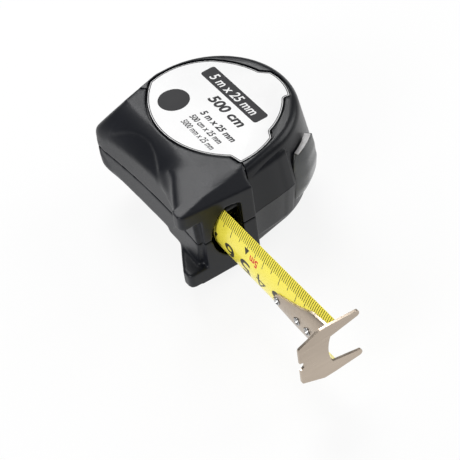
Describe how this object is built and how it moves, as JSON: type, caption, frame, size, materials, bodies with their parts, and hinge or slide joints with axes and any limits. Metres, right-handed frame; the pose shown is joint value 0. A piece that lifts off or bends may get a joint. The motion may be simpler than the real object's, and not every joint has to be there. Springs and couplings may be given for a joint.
{
  "type": "tape measure",
  "caption": "Pocket tape measure with a black two-part case, rubber boot, white label plate, thumb lock, belt clip and a yellow curved steel blade ending in a large hook.",
  "frame": {"origin": "on the reel axis, in the plane of the belt clip's outer face, on which the part rests", "axes": "+X the way the blade is pulled out, +Y from the base of the case to its top, +Z out of the label face, which lies up"},
  "size_m": [0.1448, 0.076, 0.0462],
  "materials": {
    "black_abs": "satin moulded",
    "black_rubber": "matte moulded",
    "white_label": "printed gloss",
    "dark_steel": "blackened",
    "spring_steel": "rolled",
    "grey_plastic": "moulded",
    "yellow_blade": "lacquered satin",
    "hook_steel": "nickel plated",
    "lock_plastic": "smooth moulded",
    "clip_steel": "plated"
  },
  "bodies": {
    "case": {"front_shell": "black_abs", "back_shell": "black_abs", "front_boot": "black_rubber", "back_boot": "black_rubber", "label_plate": "white_label", "spindle": "dark_steel", "power_spring": "spring_steel", "reel_washers": "grey_plastic", "blade_feed": "yellow_blade", "guide_posts": "black_abs", "case_screws": "dark_steel", "belt_clip": "clip_steel", "clip_screw": "dark_steel"},
    "reel": {"reel_drum": "grey_plastic", "reel_cover": "grey_plastic", "blade_anchor": "spring_steel", "blade_pack": "yellow_blade"},
    "blade": {"blade_strip": "yellow_blade", "hook_rivets": "hook_steel"},
    "hook": {"hook": "hook_steel"},
    "lock": {"lock_slider": "lock_plastic", "brake_arm": "lock_plastic", "brake_shoe": "black_rubber"}
  },
  "joints": [
    {"name": "blade_slide", "type": "slide", "parent": "case", "child": "blade", "axis": [1, 0, 0], "range_m": [-0.0672, 0], "deforming": ["blade_feed"]},
    {"name": "reel_spin", "type": "hinge", "parent": "case", "child": "reel", "pos_m": [0, 0, 0.0262], "axis": [0, 0, 1], "range_deg": [-188.7, 0], "deforming": ["power_spring"]},
    {"name": "hook_float", "type": "slide", "parent": "blade", "child": "hook", "axis": [1, 0, 0], "range_m": [0, 0.001]},
    {"name": "lock_turn", "type": "hinge", "parent": "case", "child": "lock", "pos_m": [0, 0, 0.0262], "axis": [0, 0, 1], "range_deg": [0, 9.4]}
  ],
  "couplings": [
    {"joint": "reel_spin", "follows": "blade_slide", "rad_per_m": 49}
  ]
}
